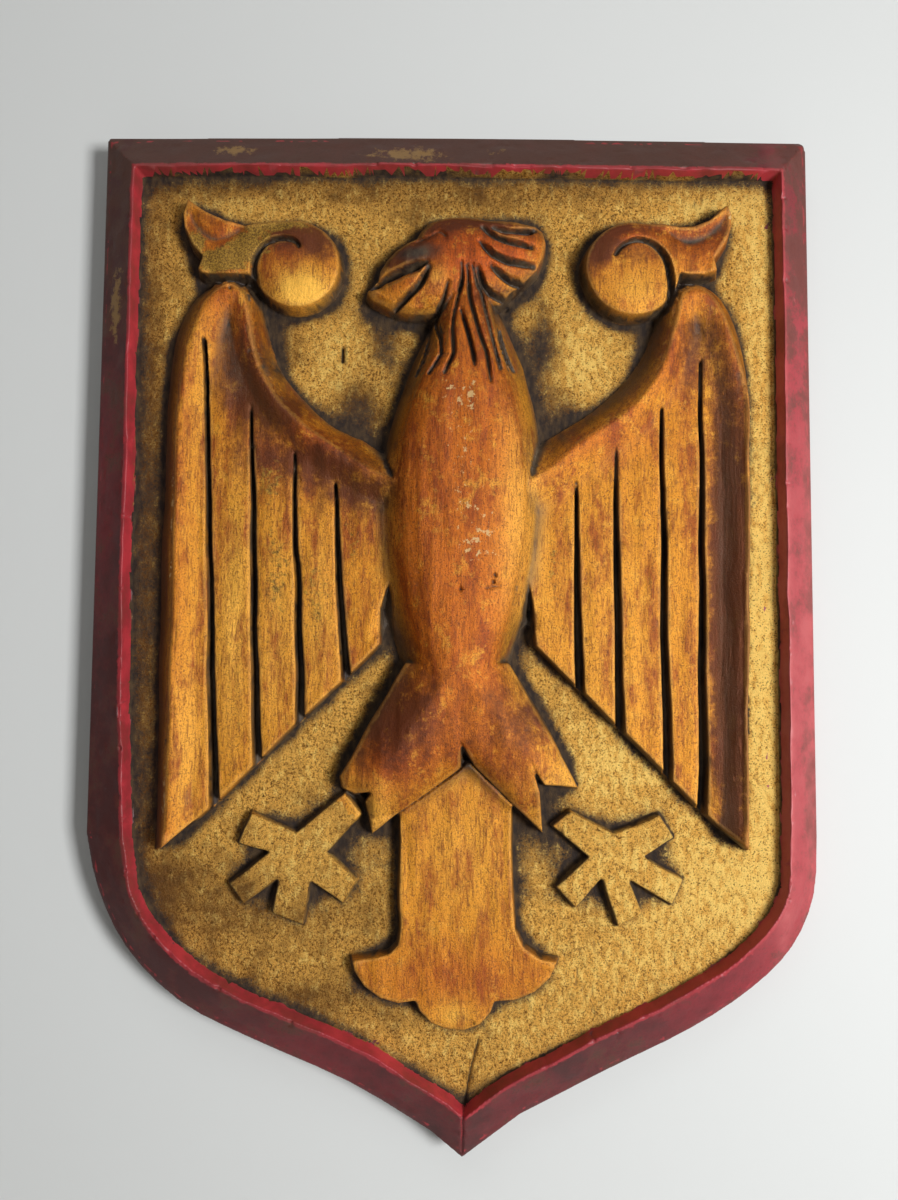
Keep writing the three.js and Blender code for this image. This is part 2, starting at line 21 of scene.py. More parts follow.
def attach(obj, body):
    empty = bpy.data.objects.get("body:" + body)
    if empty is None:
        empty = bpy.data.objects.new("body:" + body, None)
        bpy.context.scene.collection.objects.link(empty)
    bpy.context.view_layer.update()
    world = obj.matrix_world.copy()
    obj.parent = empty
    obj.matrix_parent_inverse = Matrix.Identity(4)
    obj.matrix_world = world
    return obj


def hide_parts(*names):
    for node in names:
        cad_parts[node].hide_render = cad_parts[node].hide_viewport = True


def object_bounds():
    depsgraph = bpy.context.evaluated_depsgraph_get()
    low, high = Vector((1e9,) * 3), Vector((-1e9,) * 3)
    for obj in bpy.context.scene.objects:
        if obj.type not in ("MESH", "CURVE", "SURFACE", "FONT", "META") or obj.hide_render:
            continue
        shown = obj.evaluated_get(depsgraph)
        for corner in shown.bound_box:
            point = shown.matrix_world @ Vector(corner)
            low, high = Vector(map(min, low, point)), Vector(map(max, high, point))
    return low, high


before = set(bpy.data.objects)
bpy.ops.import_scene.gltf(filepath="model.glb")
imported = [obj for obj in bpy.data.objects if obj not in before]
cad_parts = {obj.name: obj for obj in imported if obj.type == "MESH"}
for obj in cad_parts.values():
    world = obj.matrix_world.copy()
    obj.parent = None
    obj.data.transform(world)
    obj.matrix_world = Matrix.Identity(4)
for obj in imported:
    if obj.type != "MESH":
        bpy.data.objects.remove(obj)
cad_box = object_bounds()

scene = bpy.context.scene
print("CAD box in metres:", [list(corner) for corner in cad_box])

# %% [markdown]
# ## The camera
# The picture was taken by hand, close up with a wide lens, so near parts spread and the walls of the relief
# show away from the middle. A 27.75 mm lens on a 36 mm sensor, 380 mm from the board and tilted up by 3.5
# degrees, puts the shield's corners and tip where they are in the picture.

# %% Place the camera
TILT, ROLL = math.radians(3.542), math.radians(0.4256)
STANDS_AT = (-0.00654, -0.38027, -0.01064)
ahead = Vector((0, math.cos(TILT), math.sin(TILT)))
upward = Vector((0, -math.sin(TILT), math.cos(TILT)))
across = Vector((1, 0, 0))
side = across * math.cos(ROLL) + upward * math.sin(ROLL)
top = upward * math.cos(ROLL) - across * math.sin(ROLL)

lens = bpy.data.cameras.new("camera")
lens.lens = 27.75
lens.sensor_width = 36
lens.clip_start = 0.01
camera = bpy.data.objects.new("camera", lens)
scene.collection.objects.link(camera)
camera.matrix_world = Matrix((
    (side.x, top.x, -ahead.x, STANDS_AT[0]),
    (side.y, top.y, -ahead.y, STANDS_AT[1]),
    (side.z, top.z, -ahead.z, STANDS_AT[2]),
    (0, 0, 0, 1),
))
scene.camera = camera
scene.view_settings.view_transform = "Standard"
print("camera stands", round(-camera.location.y * 1000), "mm from the wall")

# %% [markdown]
# ## Helpers for every material
# Colours are picked as the sRGB hex values that a paint chart gives, while the renderer works in linear
# light, so one function turns the first into the second. The next adds one node, with its settings and its
# links, and the last starts a material. Sockets go by name, or by number where names repeat: SHARE, UNDER,
# OVER and MIXED are those of a Mix node that lays one colour over another, and MULTIPLY_ADD gives input 0
# times input 1 plus input 2. Paint, shellac and wood all have an IOR near the default of 1.5, so it is left
# as it is.

# %% Helpers for colours and nodes
def srgb(code):
    """Linear RGBA of a colour written as RRGGBB."""
    parts = [int(code[i:i + 2], 16) / 255 for i in (0, 2, 4)]
    return (*[p / 12.92 if p <= 0.04045 else ((p + 0.055) / 1.055) ** 2.4 for p in parts], 1)


SHARE, UNDER, OVER, MIXED = 0, 6, 7, 2


def add(tree, kind, inputs, output=0, **settings):
    """Adds a shader node. Each input is a value, or a socket to link. Returns one of its outputs."""
    made = tree.nodes.new("ShaderNode" + kind)
    for name, value in settings.items():
        setattr(made, name, value)
    for key, value in inputs.items():
        if isinstance(value, bpy.types.NodeSocket):
            tree.links.new(value, made.inputs[key])
        else:
            made.inputs[key].default_value = value
    return made.outputs[output]


def new_material(name, **shader):
    """An empty material: its tree, its shader node, and the surface's place in millimetres."""
    material = bpy.data.materials.new(name)
    material.use_nodes = True
    tree = material.node_tree
    surface = tree.nodes["Principled BSDF"]
    for key, value in shader.items():
        surface.inputs[key.replace("_", " ")].default_value = value
    place = add(tree, "TexCoord", {}, "Object")
    millimetres = add(tree, "VectorMath", {0: place, "Scale": 1000}, operation="SCALE")
    return material, tree, surface, millimetres


# %% [markdown]
# ## Wall and floor
# A plaque is seen flat against something pale. The wall is a plain sheet just behind the board. It shows
# from the front only, so that the board's back can be looked at too, and light reaches the back through an
# opening that the board itself hides from the front. The opening follows the solid's own back outline, a
# little inside it. A pale floor lies well below.

# %% Wall and floor
def sheet(name, corners, faces):
    """An object made from corner points and the faces between them."""
    mesh = bpy.data.meshes.new(name)
    mesh.from_pydata(corners, [], faces)
    made = bpy.data.objects.new(name, mesh)
    scene.collection.objects.link(made)
    return made


WALL_GAP = 0.0006
WALL_REACH = 2.2
OPENING_INSET = 0.0025
FLOOR_LEVEL = -1.0
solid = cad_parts["carved_shield"]
back = {(v.co.x, v.co.z) for v in solid.data.vertices if v.co.y > -1e-5}
back = sorted(back, key=lambda point: math.atan2(point[1], point[0]))
ring = []
for x, z in back:
    far = math.hypot(x, z)
    for distance in (far - OPENING_INSET, WALL_REACH):
        ring.append((x / far * distance, WALL_GAP, z / far * distance))
count = len(ring)
wall = sheet("wall", ring, [(k, k + 1, (k + 3) % count, (k + 2) % count) for k in range(0, count, 2)])
floor_corners = [(x, y, FLOOR_LEVEL) for x, y in ((-3, -4.5), (3, -4.5), (3, 1.5), (-3, 1.5))]
floor = sheet("floor", floor_corners, [(0, 1, 2, 3)])

wall_paint, tree, surface, _ = new_material("matt_emulsion_wall", Roughness=0.7)
surface.inputs["Base Color"].default_value = srgb("CFD1D0")
behind = add(tree, "NewGeometry", {}, "Backfacing")
clear = add(tree, "BsdfTransparent", {})
shown = add(tree, "MixShader", {0: behind, 1: surface.outputs[0], 2: clear})
tree.links.new(shown, tree.nodes["Material Output"].inputs[0])
wall.data.materials.append(wall_paint)

floor_paint, tree, surface, _ = new_material("matt_floor", Roughness=0.8)
surface.inputs["Base Color"].default_value = srgb("D9D8D5")
floor.data.materials.append(floor_paint)
print("wall", WALL_GAP * 1000, "mm behind the board, opening with", len(back), "corners")

# %% [markdown]
# ## Light
# A window stands to the right and a little below the shield, and shines in at about 50 degrees to the board.
# That is low enough to make a carving readable: slopes that face right glow, and every form throws a soft
# shadow to its left. A dim room light from above and light from all round keep the shadows brown and not
# black. One more lamp stands behind the wall, where it lights only the board's back.

# %% Light
def window(name, towards, distance, size, watts):
    """A rectangular lamp that stands in the direction towards, and looks back at the shield."""
    lamp = bpy.data.lights.new(name, "AREA")
    lamp.shape = "RECTANGLE"
    lamp.size, lamp.size_y = size
    lamp.energy = watts
    made = bpy.data.objects.new(name, lamp)
    direction = Vector(towards).normalized()
    made.location = direction * distance
    made.rotation_mode = "QUATERNION"
    made.rotation_quaternion = direction.to_track_quat("Z", "Y")
    scene.collection.objects.link(made)


window("window_light", (0.60, -0.79, -0.08), 1.15, (0.28, 0.36), 15)
window("room_light", (-0.15, -0.8, 0.9), 1.3, (0.9, 0.7), 2.5)
window("light_behind", (0.5, 0.75, 0.9), 1.3, (0.8, 0.8), 8)

world = bpy.data.worlds.new("room")
scene.world = world
world.use_nodes = True
world.node_tree.nodes["Background"].inputs["Color"].default_value = srgb("E8E4DE")
world.node_tree.nodes["Background"].inputs["Strength"].default_value = 0.15
print("lit by one window on the right, one dim room light, the room itself, and one lamp behind")

# %% [markdown]
# ## From the sawn solid to a hand-worked surface
# The CAD solid has knife-sharp edges and flat facets. On the real carving every edge is slightly rounded by
# sandpaper and paint. A voxel remesh at about half a millimetre turns the solid into an even skin of small
# squares, and two rounds of smoothing then round each edge by about that much. That is simpler than
# bevelling thousands of edges one by one.

# %% Remesh the solid
import bmesh

VOXEL = 0.00052


def result_of(made):
    """The object's mesh with its modifiers applied."""
    graph = bpy.context.evaluated_depsgraph_get()
    mesh = bpy.data.meshes.new_from_object(made.evaluated_get(graph))
    made.modifiers.clear()
    return mesh


whole = bmesh.new()
whole.from_mesh(solid.data)
bmesh.ops.remove_doubles(whole, verts=whole.verts, dist=1e-6)
blank_mesh = bpy.data.meshes.new("blank")
whole.to_mesh(blank_mesh)
whole.free()
carving = bpy.data.objects.new("carved_eagle_shield", blank_mesh)
scene.collection.objects.link(carving)

remesh = carving.modifiers.new("skin", "REMESH")
remesh.mode = "VOXEL"
remesh.voxel_size = VOXEL
soften = carving.modifiers.new("sanding", "SMOOTH")
soften.factor = 0.5
soften.iterations = 2
carving.data = result_of(carving)
print("the skin has", len(carving.data.vertices), "points")

# %% [markdown]
# ## A height map to work from
# Wax settles beside walls, and edges wear on ridges. Both can be read from how high the surface is compared
# with what lies round it. So the heights are gathered on a grid, in millimetres from the flat back. Cells
# that no point fell into take their neighbours' height.

# %% Height map
PITCH = 0.75
LOW_X, LOW_Z = -156.0, -210.0
GRID = (416, 560)
THINNEST = 2.0  # mm: a cell with less than this holds no wood


def points_of(mesh):
    """The mesh's points in millimetres, one row each."""
    flat = np.empty(len(mesh.vertices) * 3, np.float32)
    mesh.vertices.foreach_get("co", flat)
    return flat.reshape(-1, 3) * 1000


def blur(grid, radius):
    """Gaussian blur of a grid. The radius is in millimetres."""
    u = np.fft.fftfreq(grid.shape[0])[:, None]
    v = np.fft.rfftfreq(grid.shape[1])[None, :]
    kernel = np.exp(-2 * (math.pi * radius / PITCH) ** 2 * (u ** 2 + v ** 2))
    return np.fft.irfft2(np.fft.rfft2(grid) * kernel, s=grid.shape)


def read(grid, x, z):
    """Values of a grid at points, blended between its cells."""
    u = np.clip((x - LOW_X) / PITCH - 0.5, 0, grid.shape[0] - 1.001)
    v = np.clip((z - LOW_Z) / PITCH - 0.5, 0, grid.shape[1] - 1.001)
    i, j = u.astype(int), v.astype(int)
    fu, fv = u - i, v - j
    low = grid[i, j] * (1 - fu) + grid[i + 1, j] * fu
    high = grid[i, j + 1] * (1 - fu) + grid[i + 1, j + 1] * fu
    return low * (1 - fv) + high * fv


points = points_of(carving.data)
height = np.zeros(GRID)
cell = (((points[:, 0] - LOW_X) / PITCH).astype(int), ((points[:, 2] - LOW_Z) / PITCH).astype(int))
np.maximum.at(height, cell, -points[:, 1])
for _ in range(2):
    around = np.maximum.reduce([np.roll(height, (i, j), (0, 1)) for i in (-1, 0, 1) for j in (-1, 0, 1)])
    beside_wood = blur(height, 1) > 8
    height = np.where((height <= THINNEST) & beside_wood, around, height)
print("the map holds heights up to", round(float(height.max()), 1), "mm")

# %% [markdown]
# ## What the height map tells
# Blurred copies of the map are compared with it. How deep a place lies inside the outline parts the rim from
# the eagle. The map with its narrow cuts filled shows where a gouge went in. Each is one line, so no region
# has to be drawn by hand. Every blur radius is in millimetres.

# %% Masks from the height map
FIELD = 15.0
RAISED = FIELD + 0.6
RIM_DEPTH = 0.99
CUT_REACH = 2.7
disc = np.argwhere(np.hypot(*np.mgrid[-4:5, -4:5]) * PITCH <= CUT_REACH) - 4
widest = np.maximum.reduce([np.roll(height, shift, (0, 1)) for shift in disc])
filled = np.minimum.reduce([np.roll(widest, shift, (0, 1)) for shift in disc])

board = (height > THINNEST).astype(float)
edge_depth = blur(board, 9)
rim = board * (edge_depth < RIM_DEPTH) * (height > RAISED)
relief = board * (edge_depth >= RIM_DEPTH) * (height > RAISED)
solid_relief = board * (edge_depth >= RIM_DEPTH) * (filled > RAISED)
core = np.clip((blur(solid_relief, 2.5) - 0.93) / 0.07, 0, 1)  # 1 inside the eagle, 0 at its walls
settled = blur(filled, 2.2) - filled  # mm that sanding moves the surface
wax = blur(np.clip(height - FIELD, 0, 9) * board, 4.6) / 9 * 2.2  # more beside taller walls
ridge = height - blur(height, 1.3)  # mm above what lies round it
hollow = blur(height, 5) - height  # mm below what lies round it
print("relief covers", round(relief.sum() / board.sum() * 100), "% of the board")

# %% [markdown]
# ## Tool marks
# No hand-cut line is straight and no gouged surface is flat. First the eagle's forms are eased into each
# other, as sandpaper does, while the narrow cuts keep their depth. Then come a slow wobble of the cut lines,
# long shallow strokes that follow the grain, small dents in the stippled field, plane marks on the bevel,
# and nicks along the crests. All come from value noise: random numbers on a lattice, blended smoothly
# between. The front alone is worked, so the back stays flat.

# %% Tool marks
def lattice(x, z, cell_x, cell_z, seed):
    """Smooth noise from -1 to 1. The cells are in millimetres."""
    table = np.random.default_rng(seed).random((101, 103)) * 2 - 1
    u, v = x / cell_x, z / cell_z
    i, j = np.floor(u).astype(int), np.floor(v).astype(int)
    fu, fv = u - i, v - j
    fu, fv = fu * fu * (3 - 2 * fu), fv * fv * (3 - 2 * fv)
    a, b = table[i % 101, j % 103], table[(i + 1) % 101, j % 103]
    c, d = table[i % 101, (j + 1) % 103], table[(i + 1) % 101, (j + 1) % 103]
    return (a * (1 - fu) + b * fu) * (1 - fv) + (c * (1 - fu) + d * fu) * fv


x, out, z = points[:, 0].copy(), -points[:, 1], points[:, 2].copy()
front = np.clip(out - (FIELD - 1.5), 0, 1)
inside = front * np.clip((read(blur(board, 4), x, z) - 0.9) / 0.1, 0, 1)
out += front * read(core * settled, x, z)
points[:, 1] = -out
on_relief = np.clip(read(blur(relief, 0.7), x, z) * 1.6 - 0.3, 0, 1)
on_rim = read(blur(rim, 0.7), x, z)

points[:, 0] += inside * (0.5 * lattice(x, z, 13, 17, 1) + 0.2 * on_rim * lattice(x, z, 4, 5, 14))
points[:, 2] += inside * (0.5 * lattice(x, z, 17, 13, 2) + 0.2 * on_rim * lattice(x, z, 5, 4, 15))
strokes = 0.26 * lattice(x, z, 4.6, 21, 3) + 0.10 * lattice(x, z, 1.9, 8, 4)
dents = 0.12 * lattice(x, z, 1.9, 2.6, 5) + 0.14 * lattice(x, z, 7, 9, 6)
planing = 0.14 * lattice(x + z, z - x, 9, 9, 7) + 0.06 * lattice(x + z, z - x, 2.6, 2.6, 8)
push = on_relief * strokes + (1 - on_relief) * (1 - on_rim) * dents + on_rim * planing
nicks = np.clip(lattice(x, z, 3.1, 3.1, 9) - 0.42, 0, 1) * np.clip(read(ridge, x, z) / 0.5, 0, 1)
push -= (2.0 * on_rim + 0.9 * on_relief) * nicks
points[:, 1] -= front * push

# %% [markdown]
# ## Scars
# Three kinds of damage tell the plaque's age: a drying split that opens from the bottom tip into the field,
# short checks across the paint, and the holes of old pins in the field and the breast. Each is cut along a
# line, as a V that is deepest in its middle.

# %% Scars
def scratch(line, width, depth):
    """Lowers the front of the skin along a line of (x, z) points."""
    for (xa, za), (xb, zb) in zip(line, line[1:]):
        length = math.hypot(xb - xa, zb - za)
        share = np.clip(((x - xa) * (xb - xa) + (z - za) * (zb - za)) / length ** 2, 0, 1)
        away = np.hypot(x - xa - share * (xb - xa), z - za - share * (zb - za))
        scars[:] = np.maximum(scars, depth * np.clip(1 - away / (width / 2), 0, 1))


scars = np.zeros(len(points))
chance = np.random.default_rng(11)
CHECKED_AREAS = [(38, 84, -134, -116, 14), (48, 100, 166, 180, 14), (30, 62, -146, -132, 7)]
for left, right, lowest, highest, number in CHECKED_AREAS:
    starts = zip(chance.uniform(left, right, number), chance.uniform(lowest, highest, number))
    for start_x, start_z in starts:
        fall, lean = chance.uniform(2, 6), chance.uniform(-0.8, 0.8)
        scratch([(start_x, start_z), (start_x + lean, start_z - fall)], width=1.1, depth=0.6)
DRYING_SPLIT = [(6.2, -157.4), (3.6, -168.6), (2.1, -176), (0.3, -183.5), (0, -200)]
scratch(DRYING_SPLIT, width=1.6, depth=1.5)
scratch([(-49.9, 113), (-49.8, 108)], width=2.2, depth=2.6)
for hole_x, hole_z in ((10.3, 20.3), (9.6, 17.7), (-2.8, 15.3), (-93.6, 133.5)):
    scratch([(hole_x, hole_z), (hole_x + 0.2, hole_z - 0.5)], width=1.9, depth=1.6)
scratch([(6.9, 15.4), (12.6, 16.2)], width=1.5, depth=0.9)
print("deepest scar", round(float(scars.max()), 2), "mm")

# %% [markdown]
# ## Strands and locks, cut once more
# The neck has seven strands and the head five locks on its right and two cuts, mouth and jaw, on its left.
# They are in the solid already, but the sanding closed them a little. A carver goes over such lines last
# with a parting tool, and the same V cut is used for that here.

# %% Strands and locks
STRANDS = [
    [(-14.6, 121.4), (-15.3, 114.2), (-17.1, 107.4), (-20, 99.9)],
    [(-8.1, 135.4), (-9.4, 129.8), (-12, 124.2), (-12.5, 119), (-10.6, 112.7), (-10.3, 106.4), (-14.9, 98.5)],
    [(-2.5, 143.2), (-2.3, 137.4), (-5.3, 123.1), (-6, 115.9), (-5.6, 106.5), (-9, 98.2)],
    [(-2.7, 123.5), (-0.7, 116.8), (0.6, 111.2), (2.3, 101.4)],
    [(-0.4, 142.2), (0.2, 134.2), (0.9, 127.9), (4.9, 112.9), (7.2, 106.6), (8.7, 95.2)],
    [(1.8, 142.2), (3.2, 135.8), (5.5, 131.1), (9, 116), (12, 104.2), (12.7, 100.7)],
    [(12.6, 117.6), (14.3, 110.8), (16.2, 105.6), (18, 101.7)],
]
LOCKS = [
    [(10.3, 157.8), (15.7, 156.7), (22, 156.8), (26.1, 158)],
    [(5.8, 158.1), (10.9, 153.7), (17.2, 151.5), (24.9, 150.5)],
    [(5, 151.2), (9.7, 146.4), (16.4, 143.6), (25.5, 143.3)],
    [(9.4, 141.6), (13.7, 138.4), (17.2, 136.6), (21.2, 136)],
    [(3.7, 141.1), (5.8, 135.1), (9, 131.5), (15.6, 129.6)],
    [(-16.2, 143), (-22, 141.3), (-28.3, 139.3), (-33.4, 137.6), (-38, 135)],
    [(-15.3, 141), (-18.8, 134.9), (-23.5, 130.5), (-29, 125.6)],
]
for line in STRANDS:
    scratch(line, width=2.3, depth=1.7)
for line in LOCKS:
    scratch(line, width=3.4, depth=1.9)
points[:, 1] += front * scars
print("cut", len(STRANDS), "strands and", len(LOCKS), "lines on the head")

# %% [markdown]
# ## Worn corners
# The two top corners of the board were knocked and worn round, the right one more than the left. Points that
# lie beyond a circle in the corner are drawn back to it. Last, nothing may stand outside the CAD solid's
# box, so the points are clipped to it.

# %% Worn corners
WORN_CORNERS = [(137.6, 201, 3.4), (-147.2, 201, 1.4)]  # x, z and radius
for corner_x, corner_z, radius in WORN_CORNERS:
    from_x, from_z = corner_x - np.sign(corner_x) * radius, corner_z - radius
    reach_x, reach_z = (points[:, 0] - from_x) * np.sign(corner_x), points[:, 2] - from_z
    beyond = np.hypot(reach_x, reach_z) / radius
    worn = (reach_x > 0) & (reach_z > 0) & (beyond > 1)
    points[worn, 0] = from_x + (points[worn, 0] - from_x) / beyond[worn]
    points[worn, 2] = from_z + (points[worn, 2] - from_z) / beyond[worn]

low, high = [np.array(corner) * 1000 for corner in cad_box]


def move_points(mesh, places):
    """Puts the mesh's points at places given in millimetres, clipped to the CAD box."""
    mesh.vertices.foreach_set("co", (np.clip(places, low, high) / 1000).astype(np.float32).ravel())
    mesh.update()


move_points(carving.data, points)
print("rounded", len(WORN_CORNERS), "corners")

# %% [markdown]
# ## A lighter mesh
# The skin has far more faces than its flat places need. Collapsing edges keeps them where the surface bends,
# and leaves a mesh that is quick to render and to share. A collapse can push a point a hair outside the box,
# so the points are clipped again.

# %% Thin the mesh
FACES = 190_000

thin = carving.modifiers.new("thinning", "DECIMATE")
thin.ratio = FACES / (2 * len(carving.data.polygons))  # every square of the skin counts as two triangles
thin.use_collapse_triangulate = True
carving.data = result_of(carving)
move_points(carving.data, points_of(carving.data))
carving.data.shade_smooth()
print("thinned to", len(carving.data.polygons), "faces")

# %% [markdown]
# ## What the finishes need to know
# Softer differences inside a finish, such as wax in a corner or a worn edge, are written on the mesh's
# points as numbers from 0 to 1, which the materials read by name. Some follow from the form: how far a point
# lies below the surface round it, and which way it faces. Others lie where brushes, rags and hands went,
# which no form tells. Those are soft round patches that add up, so a long smear is a few patches in a row.
# Some masks of both kinds also hold painted light and painted shade, as the cells below say.

# %% Measures for the masks
def spots(places):
    """Soft round patches. Each place is x, z, its two radii in millimetres and its strength."""
    total = np.zeros(len(x))
    for at_x, at_z, radius_x, radius_z, strength in places:
        total += strength * np.exp(-((x - at_x) / radius_x) ** 2 - ((z - at_z) / radius_z) ** 2)
    return total


def write(name, values):
    """Stores one number for each of the carving's points, cut to the range from 0 to 1."""
    attribute = carving.data.attributes.new(name, "FLOAT", "POINT")
    attribute.data.foreach_set("value", np.clip(values, 0, 1).astype(np.float32))


points = points_of(carving.data)
x, out, z = points[:, 0], -points[:, 1], points[:, 2]
normals = np.empty(len(points) * 3, np.float32)
carving.data.vertex_normals.foreach_get("vector", normals)
sideways, facing = normals.reshape(-1, 3)[:, 0], -normals.reshape(-1, 3)[:, 1]
below = read(filled + core * settled, x, z) - out  # mm below the surface with its cuts filled
steep = np.clip((0.62 - facing) / 0.2, 0, 1)  # from 0 at 52 degrees to 1 at 65 degrees
tilt = np.clip(np.sqrt(np.clip(1 - facing ** 2, 0, 1)) / np.clip(facing, 0.3, 1), 0, 3)
print("steep walls hold", round(float(steep.mean()) * 100), "% of the points")

# %% [markdown]
# ## Masks on the field
# Wax lies in every corner, thickest under the wings and round the claws. The powder is darker along the left
# edge, under the top and beside the eagle, and brighter on the right side and round the right claw, where the
# wax is thinner too. These are partly tarnishing, cleaning and polishing by hands, and partly painted light:
# darker on the left, away from the window and in the left wing's shadow, and brighter on the right, towards it.

# %% Masks on the field
NEAR_EDGE = 0.999
# the right side: less wax, partly from cleaning and partly as painted light towards the window
cleaned_and_lit_side = np.clip((x + z * -0.35 - 60) / 60, 0, 1) * (read(edge_depth, x, z) < NEAR_EDGE)
# wax in the corners; the patch at the foot of the left wing's left wall is painted shadow
wax_and_painted_shadow_spots = spots([
    (-46, 82, 12, 12, 0.5), (-78, 118, 9, 9, 0.5), (38, 84, 11, 12, 0.5), (74, 114, 9, 9, 0.5),
    (-33, 112, 8, 16, 0.5), (29, 114, 9, 18, 0.6), (-40, 128, 12, 6, 0.4), (-104, 146, 12, 10, 0.3),
    (-65, -88, 22, 20, 0.4), (60, -92, 22, 20, 0.35), (30, -86, 10, 18, 0.5), (-38, -84, 9, 14, 0.4),
    (23, 165, 10, 6, 0.3), (-34, -136, 10, 8, 0.3), (-118.5, 90, 3, 34, 0.55),
])
low_enough = np.clip(1 - (out - FIELD - 0.5) / 1.5, 0, 1)
write("wax", (read(wax, x, z) * (1 - 0.55 * cleaned_and_lit_side) + 0.8 * wax_and_painted_shadow_spots) * low_enough)
# darker patches: tarnishing, and painted shade down the left strip and towards the lower left
write("tarnish_and_painted_shade", spots([
    (-128, 20, 7, 150, 1), (-100, 180, 50, 6, 0.5), (0, 179, 60, 6, 0.4), (90, 182, 50, 5, 0.3),
    (-44, 84, 9, 16, 1), (-80, 116, 10, 12, 0.8), (38, 84, 8, 12, 0.8), (78, 112, 9, 12, 0.7),
    (-112, 160, 8, 12, 0.3), (-118, -104, 9, 24, 0.6), (-60, -142, 36, 10, 0.5), (-34, 118, 7, 14, 0.6),
    (30, 112, 7, 14, 0.8), (-6, 172, 30, 6, 0.3), (-50, -112, 26, 14, 0.3), (-98, -108, 24, 18, 0.55),
]))
# brighter patches: polishing, and painted light down the right strip and towards the lower right
write("polish_and_painted_light", spots([
    (118, 0, 9, 120, 1), (100, -100, 28, 26, 0.75), (60, -130, 40, 16, 0.35), (60, -50, 26, 16, 0.6),
    (60, -90, 24, 24, 0.25), (-65, -88, 24, 24, 0.1), (98, 172, 20, 8, 0.8), (-100, 172, 30, 6, 0.3),
    (-100, 120, 4, 30, 0.3), (-52, 108, 9, 14, 0.6), (46, 108, 12, 16, 0.7), (118, 150, 8, 30, 0.5),
    (20, -150, 30, 16, 0.25),
]))
print("field masks: wax, tarnish and polished")

# %% [markdown]
# ## Masks that follow the form
# Ridges are rubbed, hollows are dull, and steep walls and narrow cuts hold dark wax. Low walls that face
# left, away from the window, get the same dark colour as painted shade, so that they read nearly black. Four
# places get more of it as painted shade than their form gives, most of all the underside of the beak, and
# those are listed patches.

# %% Masks from the form
write("ridge", read(ridge, x, z) * 1.6 * (out > FIELD - 1))
# painted shade: the beak, the right wing's outer feather, the left wing and the head's crest
painted_shade_patches = spots([
    (-23, 147.5, 13, 5, 0.95), (103, 20, 5, 90, 0.25), (-94, 104, 6, 22, 0.3), (24, 158, 10, 4, 0.4),
])
write("hollow", read(hollow, x, z) * 0.16 + painted_shade_patches * (out > FIELD + 3))
# painted shade on low walls that face left, away from the window
left_facing_painted_shade = np.clip((-sideways - 0.22) / 0.3, 0, 1) * np.clip((FIELD + 13 - out) / 9, 0, 1) * (out > FIELD)
write("walls", np.maximum(steep * np.clip(below / 1.2, 0, 1), 0.85 * left_facing_painted_shade))
write("groove", (below - 0.25 - 0.35 * tilt) / 0.7)
write("inner_wall", np.clip((0.72 - facing) / 0.2, 0, 1) * (out > FIELD))
print("form masks: ridge, hollow, walls, groove and inner wall")

# %% [markdown]
# ## Masks on the eagle
# The shellac is ruddy where it is thick, on the breast and the crests of the wings. Brown patches lie on the
# thighs, round the beak and on both wings. On the thighs they are stains; round the beak, in the wings' coves,
# on the outer feather of the right wing and on top of the left scroll, which turn away from the window, they
# are partly stains and partly painted shade. Gold still shines on the left scroll, the feathers and the claws.
# A little bronze powder landed on the left wing, most on its crest. Chips follow the outer edges and the
# breast.

# %% Masks on the eagle
breast = np.clip((out - 24) / 5, 0, 1) * 0.7
write("ruddy", breast + spots([
    (-100, 156, 16, 12, 0.7), (92, 156, 16, 12, 0.9), (60, 158, 14, 6, 0.9), (0, 152, 40, 12, 0.9),
    (-90, 108, 9, 24, 0.8), (84, 106, 8, 18, 0.5), (-62, 68, 22, 12, 0.8), (60, 74, 26, 9, 0.3),
    (-72, 152, 12, 5, 0.7), (-35, -45, 16, 20, 0.5), (102, 20, 6, 110, 0.5), (-52, 20, 5, 30, 0.3),
    (-3, -132, 34, 12, 0.5),
]))
# brown patches: stains, and painted shade on faces that turn away from the window
write("stains_and_painted_shade", spots([
    (-26, -34, 18, 22, 0.85), (22, -34, 18, 20, 0.55), (102.5, 5, 8, 100, 1.3), (2, 160, 34, 6, 0.8),
    (-72, 86, 12, 8, 0.8), (-58, 148, 6, 7, 0.2), (68, 149, 14, 5, 0.3), (63, 160, 12, 4, 0.6),
    (91, 158, 12, 8, 0.5), (-104, 162, 9, 8, 0.3), (-27, 147, 13, 7, 1.0), (-87, 98, 10, 22, 0.8),
    (-62, 65, 26, 11, 0.8), (-40, 52, 16, 9, 0.65), (-68, 155, 18, 7, 1.0), (88, 108, 7, 18, 0.6),
    (52, 152, 10, 10, 0.7), (14, 128, 14, 12, 0.5),
]))
write("gilt", spots([
    (-65, 133, 11, 8, 1.4), (26, 45, 5, 36, 0.45), (-29, 45, 4, 30, 0.35), (-13, 137, 5, 5, 0.6),
    (67, 134, 12, 9, 0.5), (-107, 20, 6, 110, 0.1), (-107, -45, 6, 26, 0.4), (-106, 100, 6, 30, 0.2),
    (50, -10, 30, 50, 0.2), (-90, 6, 6, 50, 0.75), (-73, 2, 6, 45, 0.5), (-56, 5, 6, 40, 0.5),
    (-3, -146, 6, 4, 0.8), (-36, -70, 9, 12, 0.6), (0, -85, 16, 20, 0.3), (62, -90, 30, 25, 0.6),
    (-68, -90, 30, 25, 0.4), (19, 40, 7, 50, 0.55), (36, -58, 9, 10, 0.4),
]))
